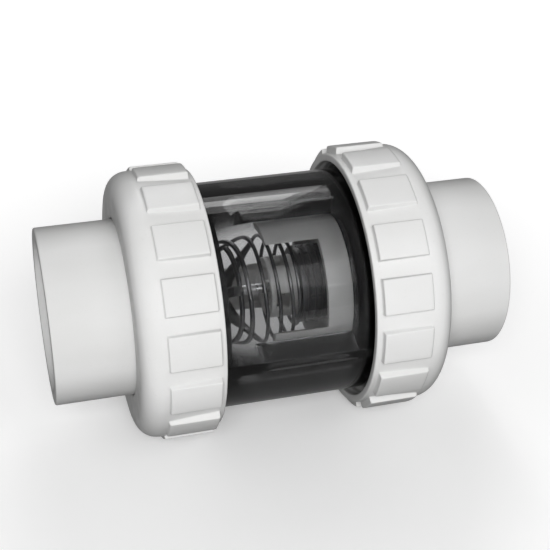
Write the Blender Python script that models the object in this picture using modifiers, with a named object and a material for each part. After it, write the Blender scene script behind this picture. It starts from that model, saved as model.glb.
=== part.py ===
"""A two-inch true-union spring check valve, lying on its two union nuts.

World frame: +X runs along the valve's axis towards the inlet, +Z is up, and the origin is the
middle of the valve on its axis. Every piece is modelled along its own +Z and hangs on the empty
"valve_axis", which turns local +Z onto world +X. The two ends are alike: each hangs on an empty
of its own, and the outlet's empty is turned end for end, which keeps both threads right-handed.
"""

import math

import bmesh
import bpy
from mathutils import Matrix, Vector

MM = 0.001
GAP = 0.3 * MM  # left between pieces that touch on the real valve
OVERCUT = 1.0 * MM  # how far a cutter runs past what it cuts
SIDES = 32  # facets of the large round pieces
SMALL_SIDES = 24  # facets of the stem and what sits on it
FACET = 2 * math.pi / SIDES

# The pipe and the socket that it is glued into.
PIPE_OD = 60.3 * MM
SOCKET_BORE_R = PIPE_OD / 2 + 0.15 * MM
SOCKET_OUTER_R = 36.5 * MM
SOCKET_DEPTH = 38.1 * MM
STOP_BORE_R = 26.0 * MM
HALF_LENGTH = 94.9 * MM
FLANGE_R = 46.4 * MM
FLANGE_THICK = 8.0 * MM

# The clear body.
BODY_R = 47.35 * MM
BODY_BORE_R = 38.2 * MM
BODY_END = 48.6 * MM
SEAT_COUNTERBORE_R = 40.3 * MM
SEAT_COUNTERBORE_DEPTH = 3.6 * MM
FACE_GROOVE_R = (41.7 * MM, 44.9 * MM)
FACE_GROOVE_DEPTH = 3.1 * MM
RIB_COUNT = 3
RIB_PHASE = math.radians(47)
RIB_THICK = 3.2 * MM
RIB_INNER_R = 28.9 * MM
RIB_SPAN = (-13.0 * MM, 27.6 * MM)

# The union thread: one start, right-handed.
PITCH = 6.0 * MM
THREAD_START = 34.4 * MM
MALE_THREAD_END = 46.4 * MM
FEMALE_THREAD_SPAN = (35.4 * MM, 47.4 * MM)
MALE_CREST_R = 49.6 * MM
THREAD_CLEARANCE = 0.4 * MM
RIDGE_BASE = 3.2 * MM
RIDGE_CREST = 1.7 * MM
RIDGE_SUNK = 0.7 * MM
RIDGE_RUN_OUT = 3  # facets over which a ridge rises from nothing

# The union nut.
NUT_OPEN = 30.2 * MM
NUT_BACK = 63.4 * MM
NUT_RIM_R = 53.8 * MM
NUT_RIM_END = 32.6 * MM
NUT_PAD_R = 57.12 * MM
NUT_PAD_END = 53.5 * MM
NUT_FLOOR_R = 54.2 * MM
NUT_SHOULDER_R = 55.3 * MM
NUT_SHOULDER_ARC = 8.3 * MM
NUT_MOUTH_R = 50.45 * MM
NUT_MOUTH_END = 33.4 * MM
NUT_BORE_R = SOCKET_OUTER_R + 0.5 * MM
PAD_COUNT = 16
PAD_GAP = math.radians(7.5)

# The seat ring in the inlet end of the body.
SEAT_BORE_R = 24.0 * MM
SEAT_LIP_R = 27.0 * MM
SEAT_LIP = 30.2 * MM
SEAT_WEB = 30.8 * MM
SEAT_OUTER_R = BODY_BORE_R - GAP
SEAT_GROOVE = (40.9 * MM, 43.7 * MM)
SEAT_GROOVE_R = 35.3 * MM

# The poppet and what it carries.
TRAVEL = 12.0 * MM
DISC_R = 28.3 * MM
DISC = (24.0 * MM, 28.0 * MM)
WING_R = (25.4 * MM, 28.3 * MM)
WING_COUNT = 3
WING_PHASE = math.radians(60)
WING_END = -5.0 * MM
WINDOW_END = 17.4 * MM
WINDOW_WIDTH = 35.0 * MM
WINDOW_INNER_R = 17.8 * MM  # its corners stay inside the wings
SEAL_THICK = 1.6 * MM
SEAL_R = 28.0 * MM
RETAINER_R = 20.0 * MM
RETAINER_THICK = 1.5 * MM
STEM_R = 2.2 * MM
STEM_END = -28.5 * MM
STEM_HEAD_R = 4.5 * MM
STEM_HEAD = 3.0 * MM
HOLE_R = STEM_R + GAP
HUB_R = 16.5 * MM
HUB = (10.0 * MM, 23.7 * MM)
HUB_GROOVES = 4
HUB_GROOVE_DEPTH = 0.9 * MM
GUIDE_R = (10.3 * MM, 13.0 * MM)
GUIDE_END = -2.5 * MM
GUIDE_FLOOR = 6.5 * MM
GUIDE_WINDOW = (8.0 * MM, 2.0 * MM, 1.0 * MM)  # width, and what is left below and above it
HEX_NUT_R = 4.2 * MM  # across the corners
HEX_NUT_HEIGHT = 3.1 * MM
WASHER_R = 5.0 * MM
WASHER_THICK = 1.0 * MM
HEX_SOCKET_R = 2.3 * MM
HEX_SOCKET_DEPTH = 1.7 * MM

# The spring retainer in the outlet side of the body, and what holds it.
CARRIER_RING = (-30.5 * MM, -25.5 * MM)
CARRIER_RING_R = 34.6 * MM
CARRIER_ARMS = (-21.5 * MM, -17.5 * MM)
CARRIER_ARM_COUNT = 4
CARRIER_ARM_PHASE = math.radians(57)
CARRIER_ARM_R = 29.0 * MM
CARRIER_ARM_WIDTH = 4.0 * MM
CARRIER_STRUT = (14.5 * MM, 3.0 * MM, 3.4 * MM)  # length, width, thickness
CARRIER_STRUT_AT = (31.0 * MM, -24.3 * MM)
CARRIER_STRUT_TILT = math.radians(42)
CARRIER_HUB_R = 5.6 * MM
ARM_SUNK = 0.8 * MM  # how far an arm runs into the hub
CARRIER_HUB = (-21.8 * MM, -14.6 * MM)
CARRIER_POST_AT = 20.1 * MM
CARRIER_POST_R = 1.2 * MM
CARRIER_POST = 3.0 * MM
BUSH_R = 3.6 * MM
BUSH_FLANGE_R = 5.4 * MM
BUSH_FLANGE = 1.0 * MM
CIRCLIP_THICK = 1.8 * MM
CIRCLIP_R = (35.2 * MM, 39.5 * MM)
CIRCLIP_GROOVE_R = 39.8 * MM
CIRCLIP_OPENING = math.radians(24)
CIRCLIP_LUG = (4.5 * MM, 5.0 * MM)  # how far it reaches inwards, and its width
CIRCLIP_LUG_INSET = 0.1 * MM
CIRCLIP_HOLE_R = 1.1 * MM

# The conical spring.
WIRE_R = 0.8 * MM
SPRING_WIDE_R = 22.6 * MM
SPRING_NARROW_R = 15.3 * MM
SPRING_TAPER = 7  # the radius closes in over the last turns only
DEAD_TURNS = 0.9
DEAD_PITCH = 2.1 * MM
ACTIVE_TURNS = 3.8
SPRING_ACTIVE_ANGLE = math.radians(146.75)  # where the active coils start
POINTS_PER_TURN = 18


def material(name, colour, roughness, metallic=0.0, alpha=1.0):
    made = bpy.data.materials.new(name)
    made.use_nodes = True
    shader = made.node_tree.nodes["Principled BSDF"]
    shader.inputs["Base Color"].default_value = (*colour, 1.0)
    shader.inputs["Roughness"].default_value = roughness
    shader.inputs["Metallic"].default_value = metallic
    shader.inputs["Alpha"].default_value = alpha
    return made


def clear_scene():
    for obj in list(bpy.data.objects):
        bpy.data.objects.remove(obj, do_unlink=True)


def add_empty(name, rotation, parent=None):
    empty = bpy.data.objects.new(name, None)
    empty.rotation_euler = rotation
    empty.parent = parent
    PARTS.objects.link(empty)
    return empty


def add_object(name, mesh, owner, finish=None, turn=0.0):
    """A mesh object on one of the empties: a part if it has a finish, otherwise a cutter."""
    obj = bpy.data.objects.new(name, mesh)
    obj.parent = owner
    obj.rotation_euler = (0.0, 0.0, turn)
    if finish is None:
        TOOLS.objects.link(obj)
        obj.hide_render = True
        obj.display_type = "WIRE"
    else:
        PARTS.objects.link(obj)
        mesh.materials.append(finish)
    return obj


def turned(name, profile, owner, finish=None, turn=0.0, sides=SIDES, closed=True):
    """A piece turned about local Z from (radius, height) points that run down its outer side.
    A closed profile makes a ring. An open one starts and ends on the axis."""
    mesh = bpy.data.meshes.new(name)
    points = [(radius, 0.0, height) for radius, height in profile]
    edges = [(i, i + 1) for i in range(len(points) - 1)]
    if closed:
        edges.append((len(points) - 1, 0))
    mesh.from_pydata(points, edges, [])
    obj = add_object(name, mesh, owner, finish, turn)
    screw = obj.modifiers.new("turn", "SCREW")
    screw.axis = "Z"
    screw.steps = sides
    screw.render_steps = sides
    screw.use_merge_vertices = True
    screw.merge_threshold = 0.00001
    screw.use_smooth_shade = True
    return obj


def solid_boxes(name, boxes, owner, finish=None, turn=0.0):
    """Separate boxes in one mesh. Each is (low corner, high corner, angle about Z)."""
    mesh = bpy.data.meshes.new(name)
    shape = bmesh.new()
    for low, high, angle in boxes:
        low, high = Vector(low), Vector(high)
        size = Matrix.Diagonal((*(high - low), 1.0))
        place = Matrix.Rotation(angle, 4, "Z") @ Matrix.Translation((low + high) / 2) @ size
        bmesh.ops.create_cube(shape, size=1.0, matrix=place)
    shape.to_mesh(mesh)
    shape.free()
    return add_object(name, mesh, owner, finish, turn)


def solid_rods(name, rods, owner, sides, finish=None, turn=0.0):
    """Separate cylinders along Z in one mesh. Each is (radius, low, high, (x, y))."""
    mesh = bpy.data.meshes.new(name)
    shape = bmesh.new()
    for radius, low, high, (x, y) in rods:
        place = Matrix.Translation((x, y, (low + high) / 2))
        bmesh.ops.create_cone(
            shape,
            cap_ends=True,
            segments=sides,
            radius1=radius,
            radius2=radius,
            depth=high - low,
            matrix=place,
        )
    shape.to_mesh(mesh)
    shape.free()
    return add_object(name, mesh, owner, finish, turn)


def combine(target, tool, operation):
    boolean = target.modifiers.new(tool.name, "BOOLEAN")
    boolean.operation = operation
    boolean.solver = "EXACT"
    boolean.object = tool


def thread_ridge(name, root_r, crest_r, span, offset, owner, turn=0.0):
    """One helical ridge, a loft of trapezoids whose crest rises out of the wall at both ends.
    Its stations fall on the facets of the wall that it joins."""
    outward = 1.0 if crest_r > root_r else -1.0
    sunk_r = root_r - outward * RIDGE_SUNK
    buried_r = root_r - outward * RIDGE_SUNK / 2
    rise = PITCH / (2 * math.pi)
    start = THREAD_START + offset
    first = math.ceil(((span[0] - start) / rise - turn) / FACET)
    last = math.floor(((span[1] - start) / rise - turn) / FACET)
    mesh = bpy.data.meshes.new(name)
    shape = bmesh.new()
    rings = []
    for station in range(first, last + 1):
        angle = station * FACET
        height = start + rise * (angle + turn)
        depth = min(1.0, min(station - first, last - station) / RIDGE_RUN_OUT)
        top_r = buried_r + (crest_r - buried_r) * depth
        corners = [
            (sunk_r, height - RIDGE_BASE / 2),
            (top_r, height - RIDGE_CREST / 2),
            (top_r, height + RIDGE_CREST / 2),
            (sunk_r, height + RIDGE_BASE / 2),
        ]
        rings.append(
            [shape.verts.new((r * math.cos(angle), r * math.sin(angle), z)) for r, z in corners]
        )
    for before, after in zip(rings, rings[1:]):
        for i in range(4):
            j = (i + 1) % 4
            shape.faces.new((before[i], before[j], after[j], after[i]))
    shape.faces.new(rings[0])
    shape.faces.new(rings[-1])
    bmesh.ops.recalc_face_normals(shape, faces=shape.faces)
    shape.to_mesh(mesh)
    shape.free()
    return add_object(name, mesh, owner, turn=turn)


def o_ring(name, centre_r, height, section_r, owner, finish):
    """A torus whose section is a hexagon turned flat side up."""
    section = []
    for i in range(6):
        angle = math.radians(60 - 60 * i)
        section.append((centre_r + section_r * math.cos(angle), height + section_r * math.sin(angle)))
    return turned(name, section, owner, finish)


def around(count, phase=0.0):
    return [phase + 2 * math.pi * i / count for i in range(count)]


def valve_body():
    low, high = -BODY_END, BODY_END
    chamfer = 0.75 * MM
    groove_in, groove_out = FACE_GROOVE_R
    clip_low = CARRIER_RING[0] - 2 * GAP - CIRCLIP_THICK
    profile = [
        (groove_out, high),
        (BODY_R - chamfer, high),
        (BODY_R, high - chamfer),
        (BODY_R, low + chamfer),
        (BODY_R - chamfer, low),
        (groove_out, low),
        (groove_out, low + FACE_GROOVE_DEPTH),
        (groove_in, low + FACE_GROOVE_DEPTH),
        (groove_in, low),
        (BODY_BORE_R + chamfer, low),
        (BODY_BORE_R, low + chamfer),
        (BODY_BORE_R, clip_low),
        (CIRCLIP_GROOVE_R, clip_low),
        (CIRCLIP_GROOVE_R, CARRIER_RING[0]),
        (BODY_BORE_R, CARRIER_RING[0]),
        (BODY_BORE_R, high - SEAT_COUNTERBORE_DEPTH),
        (SEAT_COUNTERBORE_R, high - SEAT_COUNTERBORE_DEPTH),
        (SEAT_COUNTERBORE_R, high),
        (groove_in, high),
        (groove_in, high - FACE_GROOVE_DEPTH),
        (groove_out, high - FACE_GROOVE_DEPTH),
    ]
    body = turned("valve_body", profile, AXIS, SMOKE_PVC)
    outer = BODY_BORE_R + OVERCUT
    half = RIB_THICK / 2
    ribs = [
        ((RIB_INNER_R, -half, RIB_SPAN[0]), (outer, half, RIB_SPAN[1]), angle)
        for angle in around(RIB_COUNT, RIB_PHASE)
    ]
    combine(body, solid_boxes("body_ribs", ribs, AXIS), "UNION")
    for end in (INLET, OUTLET):
        span = (THREAD_START, MALE_THREAD_END)
        ridge = thread_ridge(f"{end.name}_male_thread", BODY_R, MALE_CREST_R, span, 0.0, end)
        combine(body, ridge, "UNION")


def end_connector(name, end):
    face = BODY_END + GAP
    back = face + FLANGE_THICK
    stop = HALF_LENGTH - SOCKET_DEPTH
    chamfer = 0.8 * MM
    mouth = 1.2 * MM
    fillet = 1.6 * MM
    profile = [
        (SOCKET_BORE_R + mouth, HALF_LENGTH),
        (SOCKET_OUTER_R - chamfer, HALF_LENGTH),
        (SOCKET_OUTER_R, HALF_LENGTH - chamfer),
        (SOCKET_OUTER_R, back),
        (FLANGE_R - fillet, back),
        (FLANGE_R, back - fillet),
        (FLANGE_R, face),
        (STOP_BORE_R, face),
        (STOP_BORE_R, stop - fillet),
        (STOP_BORE_R + fillet, stop),
        (SOCKET_BORE_R, stop),
        (SOCKET_BORE_R, HALF_LENGTH - 1.5 * mouth),
    ]
    turned(name, profile, end, WHITE_PVC)


def union_nut(name, end, pad_phase):
    """The nut is turned so that a facet, not an edge, lies in the middle of each pad."""
    turn = pad_phase - FACET / 2
    seat = BODY_END + 2 * GAP + FLANGE_THICK
    thread_wall_r = MALE_CREST_R + THREAD_CLEARANCE
    centre_r = NUT_SHOULDER_R - NUT_SHOULDER_ARC
    centre = NUT_BACK - NUT_SHOULDER_ARC
    edge = 0.6 * MM
    arc = []
    for degrees in (0, 22.5, 45, 67.5, 90):
        angle = math.radians(degrees)
        reach = NUT_SHOULDER_ARC
        arc.append((centre_r + reach * math.sin(angle), centre + reach * math.cos(angle)))
    profile = [
        (NUT_BORE_R + edge, NUT_BACK),
        *arc,
        (NUT_SHOULDER_R, NUT_PAD_END),
        (NUT_PAD_R - edge, NUT_PAD_END),
        (NUT_PAD_R, NUT_PAD_END - edge),
        (NUT_PAD_R, NUT_RIM_END + edge),
        (NUT_PAD_R - edge, NUT_RIM_END),
        (NUT_RIM_R, NUT_RIM_END),
        (NUT_RIM_R, NUT_OPEN + edge),
        (NUT_RIM_R - edge, NUT_OPEN),
        (NUT_MOUTH_R + edge, NUT_OPEN),
        (NUT_MOUTH_R, NUT_OPEN + edge),
        (NUT_MOUTH_R, NUT_MOUTH_END),
        (thread_wall_r, NUT_MOUTH_END),
        (thread_wall_r, seat),
        (NUT_BORE_R, seat),
        (NUT_BORE_R, NUT_BACK - edge),
    ]
    nut = turned(name, profile, end, WHITE_PVC, turn)
    half = NUT_PAD_R * math.sin(PAD_GAP / 2)
    low, high = NUT_OPEN - 1.0 * MM, NUT_BACK - 3.0 * MM
    middle_of_gap = math.pi / PAD_COUNT + FACET / 2
    slots = [
        ((NUT_FLOOR_R, -half, low), (NUT_PAD_R + 2.0 * MM, half, high), angle)
        for angle in around(PAD_COUNT, middle_of_gap)
    ]
    combine(nut, solid_boxes(f"{name}_slots", slots, end, turn=turn), "DIFFERENCE")
    ridge = thread_ridge(
        f"{name}_thread",
        thread_wall_r,
        BODY_R + THREAD_CLEARANCE,
        FEMALE_THREAD_SPAN,
        PITCH / 2,
        end,
        turn,
    )
    combine(nut, ridge, "UNION")


def seat_ring():
    flange_r = SEAT_COUNTERBORE_R - GAP
    flange = BODY_END - SEAT_COUNTERBORE_DEPTH + GAP
    profile = [
        (STOP_BORE_R + 0.5 * MM, BODY_END),
        (flange_r, BODY_END),
        (flange_r, flange),
        (SEAT_OUTER_R, flange),
        (SEAT_OUTER_R, SEAT_GROOVE[1]),
        (SEAT_GROOVE_R, SEAT_GROOVE[1]),
        (SEAT_GROOVE_R, SEAT_GROOVE[0]),
        (SEAT_OUTER_R, SEAT_GROOVE[0]),
        (SEAT_OUTER_R, SEAT_WEB),
        (SEAT_LIP_R + 0.4 * MM, SEAT_WEB),
        (SEAT_LIP_R, SEAT_LIP),
        (SEAT_BORE_R, SEAT_LIP),
        (SEAT_BORE_R, BODY_END - 4.5 * MM),
    ]
    turned("seat_ring", profile, AXIS, GREY_PVC)


def seals():
    seat_section = 1.15 * MM
    seat_centre_r = SEAT_GROOVE_R + GAP + seat_section
    o_ring("seat_ring_oring", seat_centre_r, sum(SEAT_GROOVE) / 2, seat_section, AXIS, RUBBER)
    face_section = 1.3 * MM
    face_height = BODY_END - GAP - face_section
    for end in (INLET, OUTLET):
        o_ring(f"{end.name}_face_oring", sum(FACE_GROOVE_R) / 2, face_height, face_section, end, RUBBER)


def poppet():
    edge = 0.5 * MM
    profile = [
        (HOLE_R, DISC[1]),
        (DISC_R - edge, DISC[1]),
        (DISC_R, DISC[1] - edge),
        (DISC_R, DISC[0]),
        (HOLE_R, DISC[0]),
    ]
    disc = turned("poppet", profile, POPPET, WHITE_ACETAL)
    inner, outer = WING_R
    joined = DISC[0] + OVERCUT
    skirt = [(outer, joined), (outer, WING_END), (inner, WING_END), (inner, joined)]
    combine(disc, turned("poppet_skirt", skirt, POPPET), "UNION")
    reach = outer + OVERCUT
    half = WINDOW_WIDTH / 2
    between_wings = WING_PHASE + math.pi / WING_COUNT
    windows = [
        ((WINDOW_INNER_R, -half, WING_END - OVERCUT), (reach, half, WINDOW_END), angle)
        for angle in around(WING_COUNT, between_wings)
    ]
    combine(disc, solid_boxes("poppet_windows", windows, POPPET), "DIFFERENCE")


def poppet_stack():
    """The seal and the pieces that the stem bolt clamps on the poppet, from the inlet side."""
    seal_low = DISC[1] + GAP
    seal_high = seal_low + SEAL_THICK
    seal = [(HOLE_R, seal_high), (SEAL_R, seal_high), (SEAL_R, seal_low), (HOLE_R, seal_low)]
    turned("poppet_seal", seal, POPPET, RUBBER)
    plate_low = seal_high + GAP
    plate_high = plate_low + RETAINER_THICK
    bevel = 0.6 * MM
    plate = [
        (HOLE_R, plate_high),
        (RETAINER_R - bevel, plate_high),
        (RETAINER_R, plate_high - bevel),
        (RETAINER_R, plate_low),
        (HOLE_R, plate_low),
    ]
    turned("seal_retainer", plate, POPPET, STEEL)
    head_low = plate_high + GAP
    head_high = head_low + STEM_HEAD
    bolt = [
        (0.0, head_high),
        (STEM_HEAD_R - bevel, head_high),
        (STEM_HEAD_R, head_high - bevel),
        (STEM_HEAD_R, head_low),
        (STEM_R, head_low),
        (STEM_R, STEM_END + bevel),
        (STEM_R - bevel, STEM_END),
        (0.0, STEM_END),
    ]
    stem = turned("stem_bolt", bolt, POPPET, STEEL, sides=SMALL_SIDES, closed=False)
    socket = (HEX_SOCKET_R, head_high - HEX_SOCKET_DEPTH, head_high + OVERCUT, (0.0, 0.0))
    combine(stem, solid_rods("stem_hex_socket", [socket], POPPET, 6), "DIFFERENCE")


def spring_hub():
    low, high = HUB
    land = (high - low) / (2 * HUB_GROOVES + 1)
    grooves = []
    for i in range(HUB_GROOVES):
        top = high - (2 * i + 1) * land
        grooves += [(HUB_R, top), (HUB_R - HUB_GROOVE_DEPTH, top - land / 2), (HUB_R, top - land)]
    profile = [
        (HOLE_R, high),
        (HUB_R, high),
        *grooves,
        (HUB_R, low),
        (HOLE_R, low),
    ]
    turned("spring_hub", profile, POPPET, DARK_ACETAL, sides=32)


def spring_guide():
    inner, outer = GUIDE_R
    top = HUB[0] - GAP
    profile = [
        (HOLE_R, top),
        (outer, top),
        (outer, GUIDE_END),
        (inner, GUIDE_END),
        (inner, GUIDE_FLOOR),
        (HOLE_R, GUIDE_FLOOR),
    ]
    guide = turned("spring_guide", profile, POPPET, WHITE_ACETAL, sides=32)
    width, below, above = GUIDE_WINDOW
    corner_in = (inner - OVERCUT, -width / 2, GUIDE_END + below)
    corner_out = (outer + OVERCUT, width / 2, GUIDE_FLOOR - above)
    windows = [(corner_in, corner_out, angle) for angle in around(4)]
    combine(guide, solid_boxes("guide_windows", windows, POPPET), "DIFFERENCE")


def hex_nut(name, low):
    high = low + HEX_NUT_HEIGHT
    body = (HEX_NUT_R, low, high, (0.0, 0.0))
    nut = solid_rods(name, [body], POPPET, 6, STEEL)
    bore = (HOLE_R, low - OVERCUT, high + OVERCUT, (0.0, 0.0))
    combine(nut, solid_rods(f"{name}_bore", [bore], POPPET, 16), "DIFFERENCE")


def stem_fasteners():
    hex_nut("clamp_nut", GUIDE_FLOOR - GAP - HEX_NUT_HEIGHT)
    washer_high = CARRIER_HUB[0] - 2 * GAP - BUSH_FLANGE
    washer_low = washer_high - WASHER_THICK
    washer = [
        (HOLE_R, washer_high),
        (WASHER_R, washer_high),
        (WASHER_R, washer_low),
        (HOLE_R, washer_low),
    ]
    turned("stem_washer", washer, POPPET, STEEL, sides=SMALL_SIDES)
    hex_nut("stem_nut", washer_low - GAP - HEX_NUT_HEIGHT)


def tilted_struts(name, owner):
    """The struts that run back from the arms to the ring, one box at each arm."""
    out, height = CARRIER_STRUT_AT
    size = Matrix.Diagonal((*CARRIER_STRUT, 1.0))
    tilt = Matrix.Translation((out, 0.0, height)) @ Matrix.Rotation(CARRIER_STRUT_TILT, 4, "Y")
    mesh = bpy.data.meshes.new(name)
    shape = bmesh.new()
    for angle in around(CARRIER_ARM_COUNT, CARRIER_ARM_PHASE):
        turn = Matrix.Rotation(angle, 4, "Z")
        bmesh.ops.create_cube(shape, size=1.0, matrix=turn @ tilt @ size)
    shape.to_mesh(mesh)
    shape.free()
    return add_object(name, mesh, owner)


def spring_retainer():
    low, high = CARRIER_RING
    outer = BODY_BORE_R - GAP
    ring = [(CARRIER_RING_R, high), (outer, high), (outer, low), (CARRIER_RING_R, low)]
    carrier = turned("spring_retainer", ring, AXIS, BLACK_PLASTIC)
    combine(carrier, tilted_struts("retainer_struts", AXIS), "UNION")
    low, high = CARRIER_ARMS
    half = CARRIER_ARM_WIDTH / 2
    inner = CARRIER_HUB_R - ARM_SUNK
    angles = around(CARRIER_ARM_COUNT, CARRIER_ARM_PHASE)
    arms = [((inner, -half, low), (CARRIER_ARM_R, half, high), angle) for angle in angles]
    combine(carrier, solid_boxes("retainer_arms", arms, AXIS), "UNION")
    hub = [
        (BUSH_R + GAP, CARRIER_HUB[1]),
        (CARRIER_HUB_R, CARRIER_HUB[1]),
        (CARRIER_HUB_R, CARRIER_HUB[0]),
        (BUSH_R + GAP, CARRIER_HUB[0]),
    ]
    combine(carrier, turned("retainer_hub", hub, AXIS, sides=SMALL_SIDES), "UNION")
    out = CARRIER_POST_AT
    posts = [
        (CARRIER_POST_R, high - OVERCUT, high + CARRIER_POST, (out * math.cos(a), out * math.sin(a)))
        for a in angles
    ]
    combine(carrier, solid_rods("retainer_posts", posts, AXIS, 12), "UNION")


def stem_bushing():
    flange_high = CARRIER_HUB[0] - GAP
    flange_low = flange_high - BUSH_FLANGE
    profile = [
        (HOLE_R, CARRIER_HUB[1]),
        (BUSH_R, CARRIER_HUB[1]),
        (BUSH_R, flange_high),
        (BUSH_FLANGE_R, flange_high),
        (BUSH_FLANGE_R, flange_low),
        (HOLE_R, flange_low),
    ]
    turned("stem_bushing", profile, AXIS, WHITE_ACETAL, sides=SMALL_SIDES)


def retaining_ring():
    """An internal circlip: a split ring with a holed lug on each side of its opening."""
    high = CARRIER_RING[0] - GAP
    low = high - CIRCLIP_THICK
    inner, outer = CIRCLIP_R
    ring = [(inner, high), (outer, high), (outer, low), (inner, low)]
    clip = turned("retaining_ring", ring, AXIS, STEEL)
    lug_reach, lug_width = CIRCLIP_LUG
    lug_in, lug_out = inner - lug_reach, inner + OVERCUT
    side = CIRCLIP_OPENING / 2
    lug_shift = lug_width / 2 / inner
    lugs = []
    holes = []
    for angle in (side + lug_shift, -side - lug_shift):
        half = lug_width / 2
        lug_low, lug_high = low + CIRCLIP_LUG_INSET, high - CIRCLIP_LUG_INSET
        lugs.append(((lug_in, -half, lug_low), (lug_out, half, lug_high), angle))
        hole_at = lug_in + lug_reach / 2
        at = (hole_at * math.cos(angle), hole_at * math.sin(angle))
        holes.append((CIRCLIP_HOLE_R, low - OVERCUT, high + OVERCUT, at))
    combine(clip, solid_boxes("circlip_lugs", lugs, AXIS), "UNION")
    width = inner * math.sin(side)
    corner_in = (inner - OVERCUT, -width, low - OVERCUT)
    corner_out = (outer + OVERCUT, width, high + OVERCUT)
    opening = [(corner_in, corner_out, 0.0)]
    combine(clip, solid_boxes("circlip_opening", opening, AXIS), "DIFFERENCE")
    combine(clip, solid_rods("circlip_holes", holes, AXIS, 12), "DIFFERENCE")


def spring_point(turns):
    """The wire's centre after so many turns from the wide end: flat end coils, an even pitch
    between them, and a radius that closes in towards the poppet."""
    low = CARRIER_ARMS[1] + GAP + WIRE_R
    high = HUB[0] - GAP - WIRE_R
    total = 2 * DEAD_TURNS + ACTIVE_TURNS
    rise = high - low - 2 * DEAD_TURNS * DEAD_PITCH
    active = min(max(turns - DEAD_TURNS, 0.0), ACTIVE_TURNS)
    height = low + DEAD_PITCH * (turns - active) + rise * active / ACTIVE_TURNS
    radius = SPRING_WIDE_R - (SPRING_WIDE_R - SPRING_NARROW_R) * (turns / total) ** SPRING_TAPER
    angle = SPRING_ACTIVE_ANGLE + 2 * math.pi * (turns - DEAD_TURNS)
    return radius * math.cos(angle), radius * math.sin(angle), height


def spring():
    curve = bpy.data.curves.new("spring", "CURVE")
    curve.dimensions = "3D"
    curve.bevel_depth = WIRE_R
    curve.bevel_resolution = 2
    curve.use_fill_caps = True
    total = 2 * DEAD_TURNS + ACTIVE_TURNS
    count = round(total * POINTS_PER_TURN)
    spline = curve.splines.new("POLY")
    spline.points.add(count)
    for i, point in enumerate(spline.points):
        point.co = (*spring_point(total * i / count), 1.0)
    wire = bpy.data.objects.new("spring", curve)
    wire.parent = AXIS
    curve.materials.append(STEEL)
    PARTS.objects.link(wire)


clear_scene()
PARTS = bpy.data.collections.new("check_valve")
TOOLS = bpy.data.collections.new("cutters")
bpy.context.scene.collection.children.link(PARTS)
bpy.context.scene.collection.children.link(TOOLS)

SMOKE_PVC = material("smoke_clear_pvc", (0.30, 0.31, 0.32), 0.08, alpha=0.35)
WHITE_PVC = material("white_pvc", (0.86, 0.86, 0.85), 0.38)
GREY_PVC = material("grey_pvc", (0.09, 0.09, 0.095), 0.4)
WHITE_ACETAL = material("white_acetal", (0.78, 0.78, 0.76), 0.42)
DARK_ACETAL = material("dark_acetal", (0.10, 0.10, 0.11), 0.45)
BLACK_PLASTIC = material("black_plastic", (0.03, 0.03, 0.032), 0.5)
RUBBER = material("black_rubber", (0.02, 0.02, 0.02), 0.7)
STEEL = material("stainless_steel", (0.42, 0.42, 0.43), 0.3, metallic=1.0)

AXIS = add_empty("valve_axis", (0.0, math.pi / 2, 0.0))
INLET = add_empty("inlet", (0.0, 0.0, 0.0), AXIS)
OUTLET = add_empty("outlet", (math.pi, 0.0, 0.0), AXIS)
POPPET = add_empty("poppet_slide", (0.0, 0.0, 0.0), AXIS)

valve_body()
seat_ring()
seals()
poppet()
poppet_stack()
spring_hub()
spring_guide()
stem_fasteners()
spring_retainer()
stem_bushing()
retaining_ring()
spring()
for union_end, phase in ((INLET, 0.0), (OUTLET, math.pi / PAD_COUNT)):
    end_connector(f"{union_end.name}_end_connector", union_end)
    union_nut(f"{union_end.name}_union_nut", union_end, phase)

bpy.context.view_layer.update()
for part in PARTS.objects:
    if part.type == "MESH":
        part.data.shade_smooth()
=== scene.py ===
"""The looks of a two-inch true-union spring check valve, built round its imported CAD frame.

The pieces' lengths are in millimetres and their angles in degrees. A turned piece is drawn as
(x, radius, fillet) points in the half-plane through the valve's axis. Angles about the axis start
straight down and turn towards +Y. The outlet end is the inlet end turned half way round about the
vertical. The camera, the lamps, the floor and the grain of the materials are in metres.
"""

import math

import bmesh
import bpy
from mathutils import Matrix, Vector


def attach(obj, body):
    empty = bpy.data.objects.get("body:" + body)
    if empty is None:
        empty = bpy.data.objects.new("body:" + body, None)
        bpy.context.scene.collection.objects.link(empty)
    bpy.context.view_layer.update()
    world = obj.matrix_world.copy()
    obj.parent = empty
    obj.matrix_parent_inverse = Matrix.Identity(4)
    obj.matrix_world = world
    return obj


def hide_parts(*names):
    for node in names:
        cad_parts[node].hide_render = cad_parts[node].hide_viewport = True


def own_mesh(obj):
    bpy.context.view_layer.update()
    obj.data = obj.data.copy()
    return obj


MM = 0.001
FINEST = 160  # facets of the connectors and O-rings
FINE = 128  # facets of the other large round pieces
MEDIUM = 96  # facets of the spring's hub and guide
SMALL = 48  # facets of the stem and what sits on it
SHARP = 35.0  # degrees from which an edge counts as sharp
END_FOR_END = Matrix.Rotation(math.pi, 4, "Z")

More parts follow.
